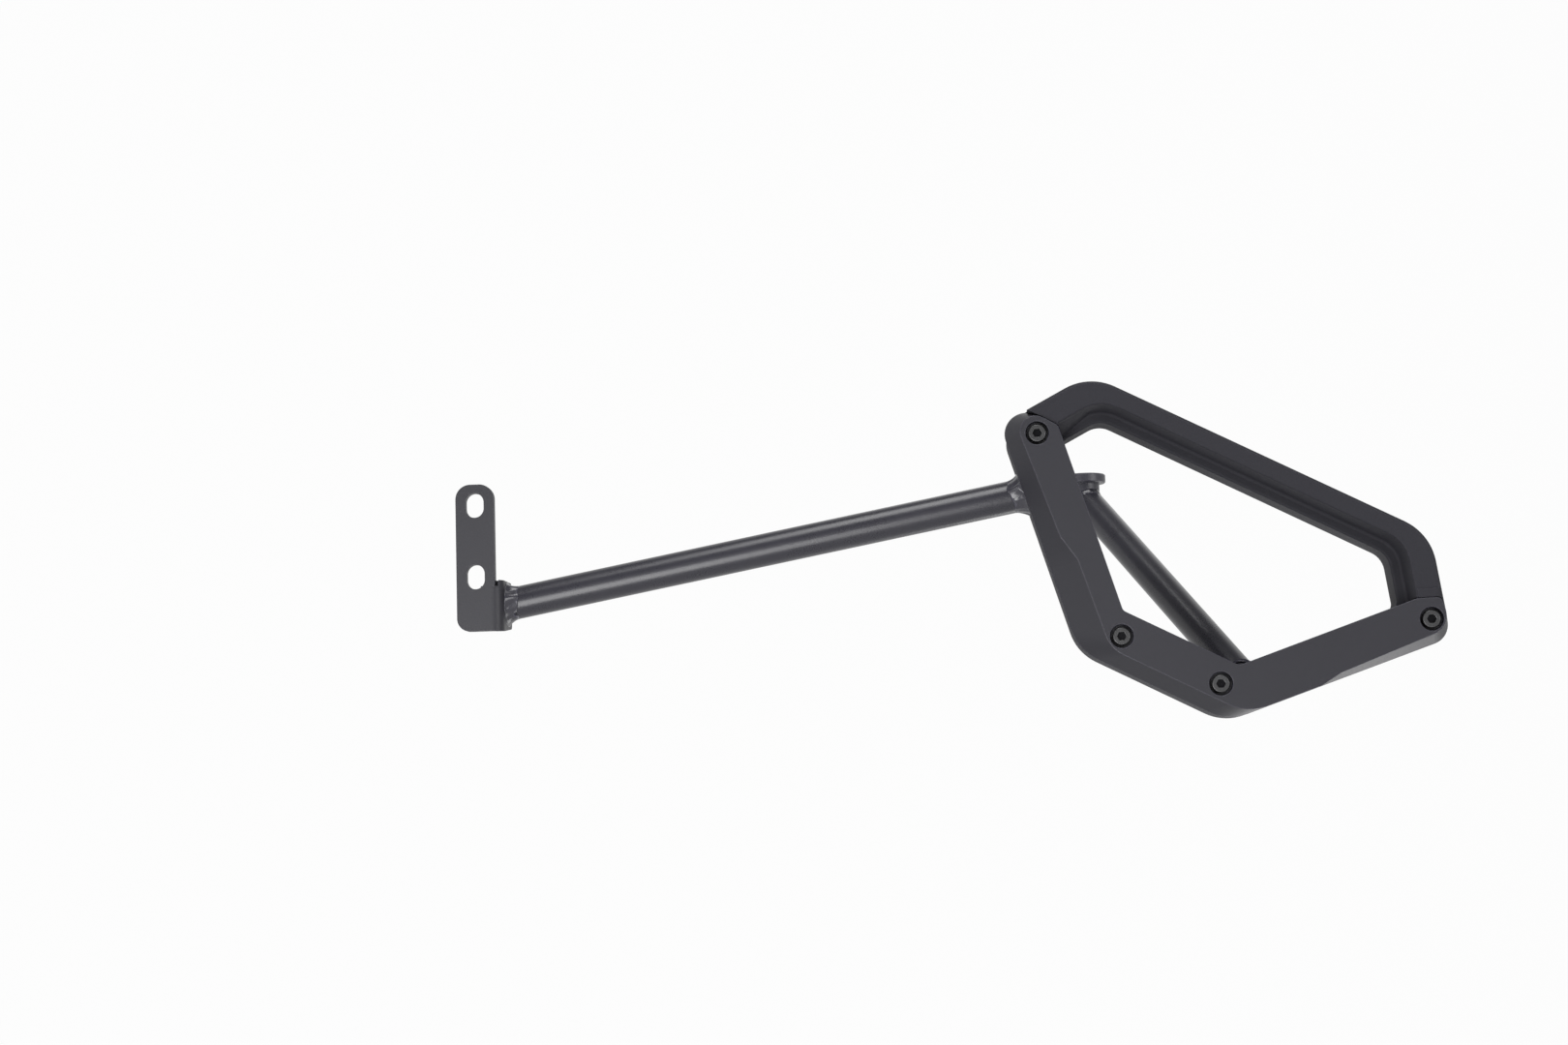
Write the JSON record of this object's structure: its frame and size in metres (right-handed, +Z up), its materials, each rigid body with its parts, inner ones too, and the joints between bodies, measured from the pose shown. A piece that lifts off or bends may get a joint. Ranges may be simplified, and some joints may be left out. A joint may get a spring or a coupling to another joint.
{
  "type": "pannier frame",
  "caption": "Side carrier frame for a motorcycle bag: slotted strip, round tube, closed channel ring under a screwed V-shaped cover, and a strut up to a threaded bush.",
  "frame": {"origin": "centre of the slotted strip's two slots, on the strip's rear face", "axes": "+X from the slotted strip along the frame towards the ring, +Y away from the outer side towards the machine, +Z up along the strip"},
  "size_m": [0.4743, 0.1558, 0.1627],
  "materials": {
    "ring_coat": "satin black powder coat",
    "cover_shell": "matte, fine grain",
    "tube_coat": "satin black powder coat",
    "plate_coat": "satin black powder coat",
    "weld_coat": "powder coat over weld beads",
    "bush_coat": "satin black powder coat",
    "screw_black": "black zinc",
    "nut_steel": "plain zinc"
  },
  "bodies": {
    "root": {"carrier_ring": "ring_coat", "lower_cover": "cover_shell", "long_tube": "tube_coat", "slotted_plate": "plate_coat", "plate_weld": "weld_coat", "ring_weld": "weld_coat", "strut_tube": "tube_coat", "strut_bush": "bush_coat", "seat_plate": "plate_coat", "foot_weld": "weld_coat", "bush_weld": "weld_coat", "cover_screw_1": "screw_black", "weld_nut_1": "nut_steel", "cover_screw_2": "screw_black", "weld_nut_2": "nut_steel", "cover_screw_3": "screw_black", "weld_nut_3": "nut_steel", "cover_screw_4": "screw_black", "weld_nut_4": "nut_steel"}
  },
  "joints": []
}
